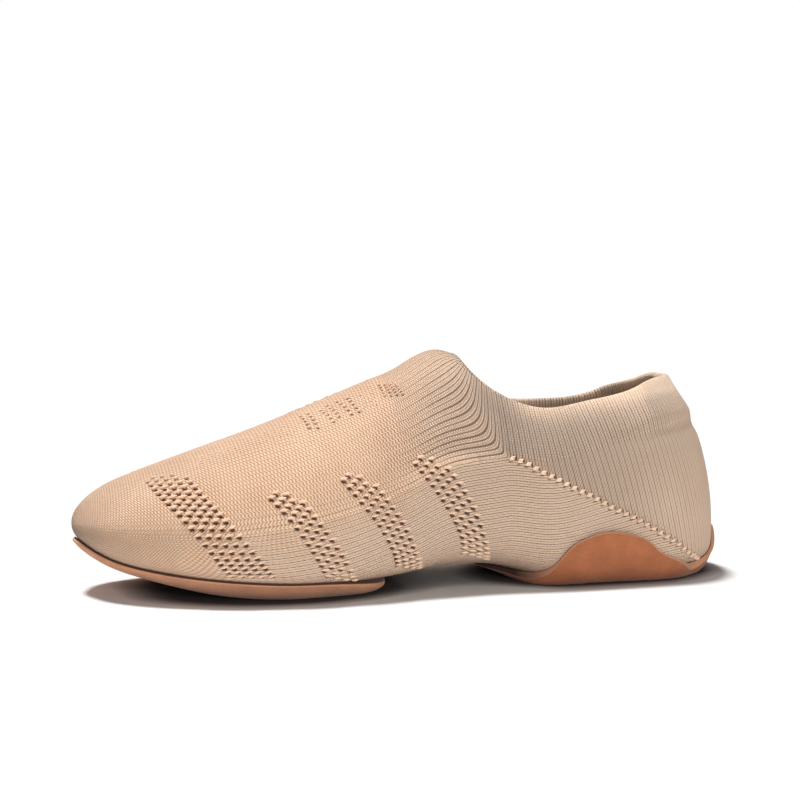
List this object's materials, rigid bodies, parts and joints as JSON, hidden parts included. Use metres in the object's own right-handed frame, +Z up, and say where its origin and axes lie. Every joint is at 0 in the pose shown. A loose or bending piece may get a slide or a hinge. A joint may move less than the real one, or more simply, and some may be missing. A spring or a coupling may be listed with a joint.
{
  "type": "dance sneaker",
  "caption": "Low knitted slip-on dance sneaker with a split sole: a suede pad under the forefoot and a suede cup under the heel.",
  "frame": {"origin": "on the floor plane, on the heel pad's flat spot under the centre of the heel", "axes": "toe along -X, heel along +X, outer side of the foot along -Y, inner side along +Y, +Z up"},
  "size_m": [0.2437, 0.0805, 0.0839],
  "materials": {
    "knit": "fine stretch knit with openwork bands, matte",
    "suede": "brushed suede, matte",
    "lining": "soft textile, matte"
  },
  "bodies": {
    "root": {"upper": "knit", "sole_heel": "suede", "sole_forefoot": "suede", "insole": "lining"}
  },
  "joints": []
}
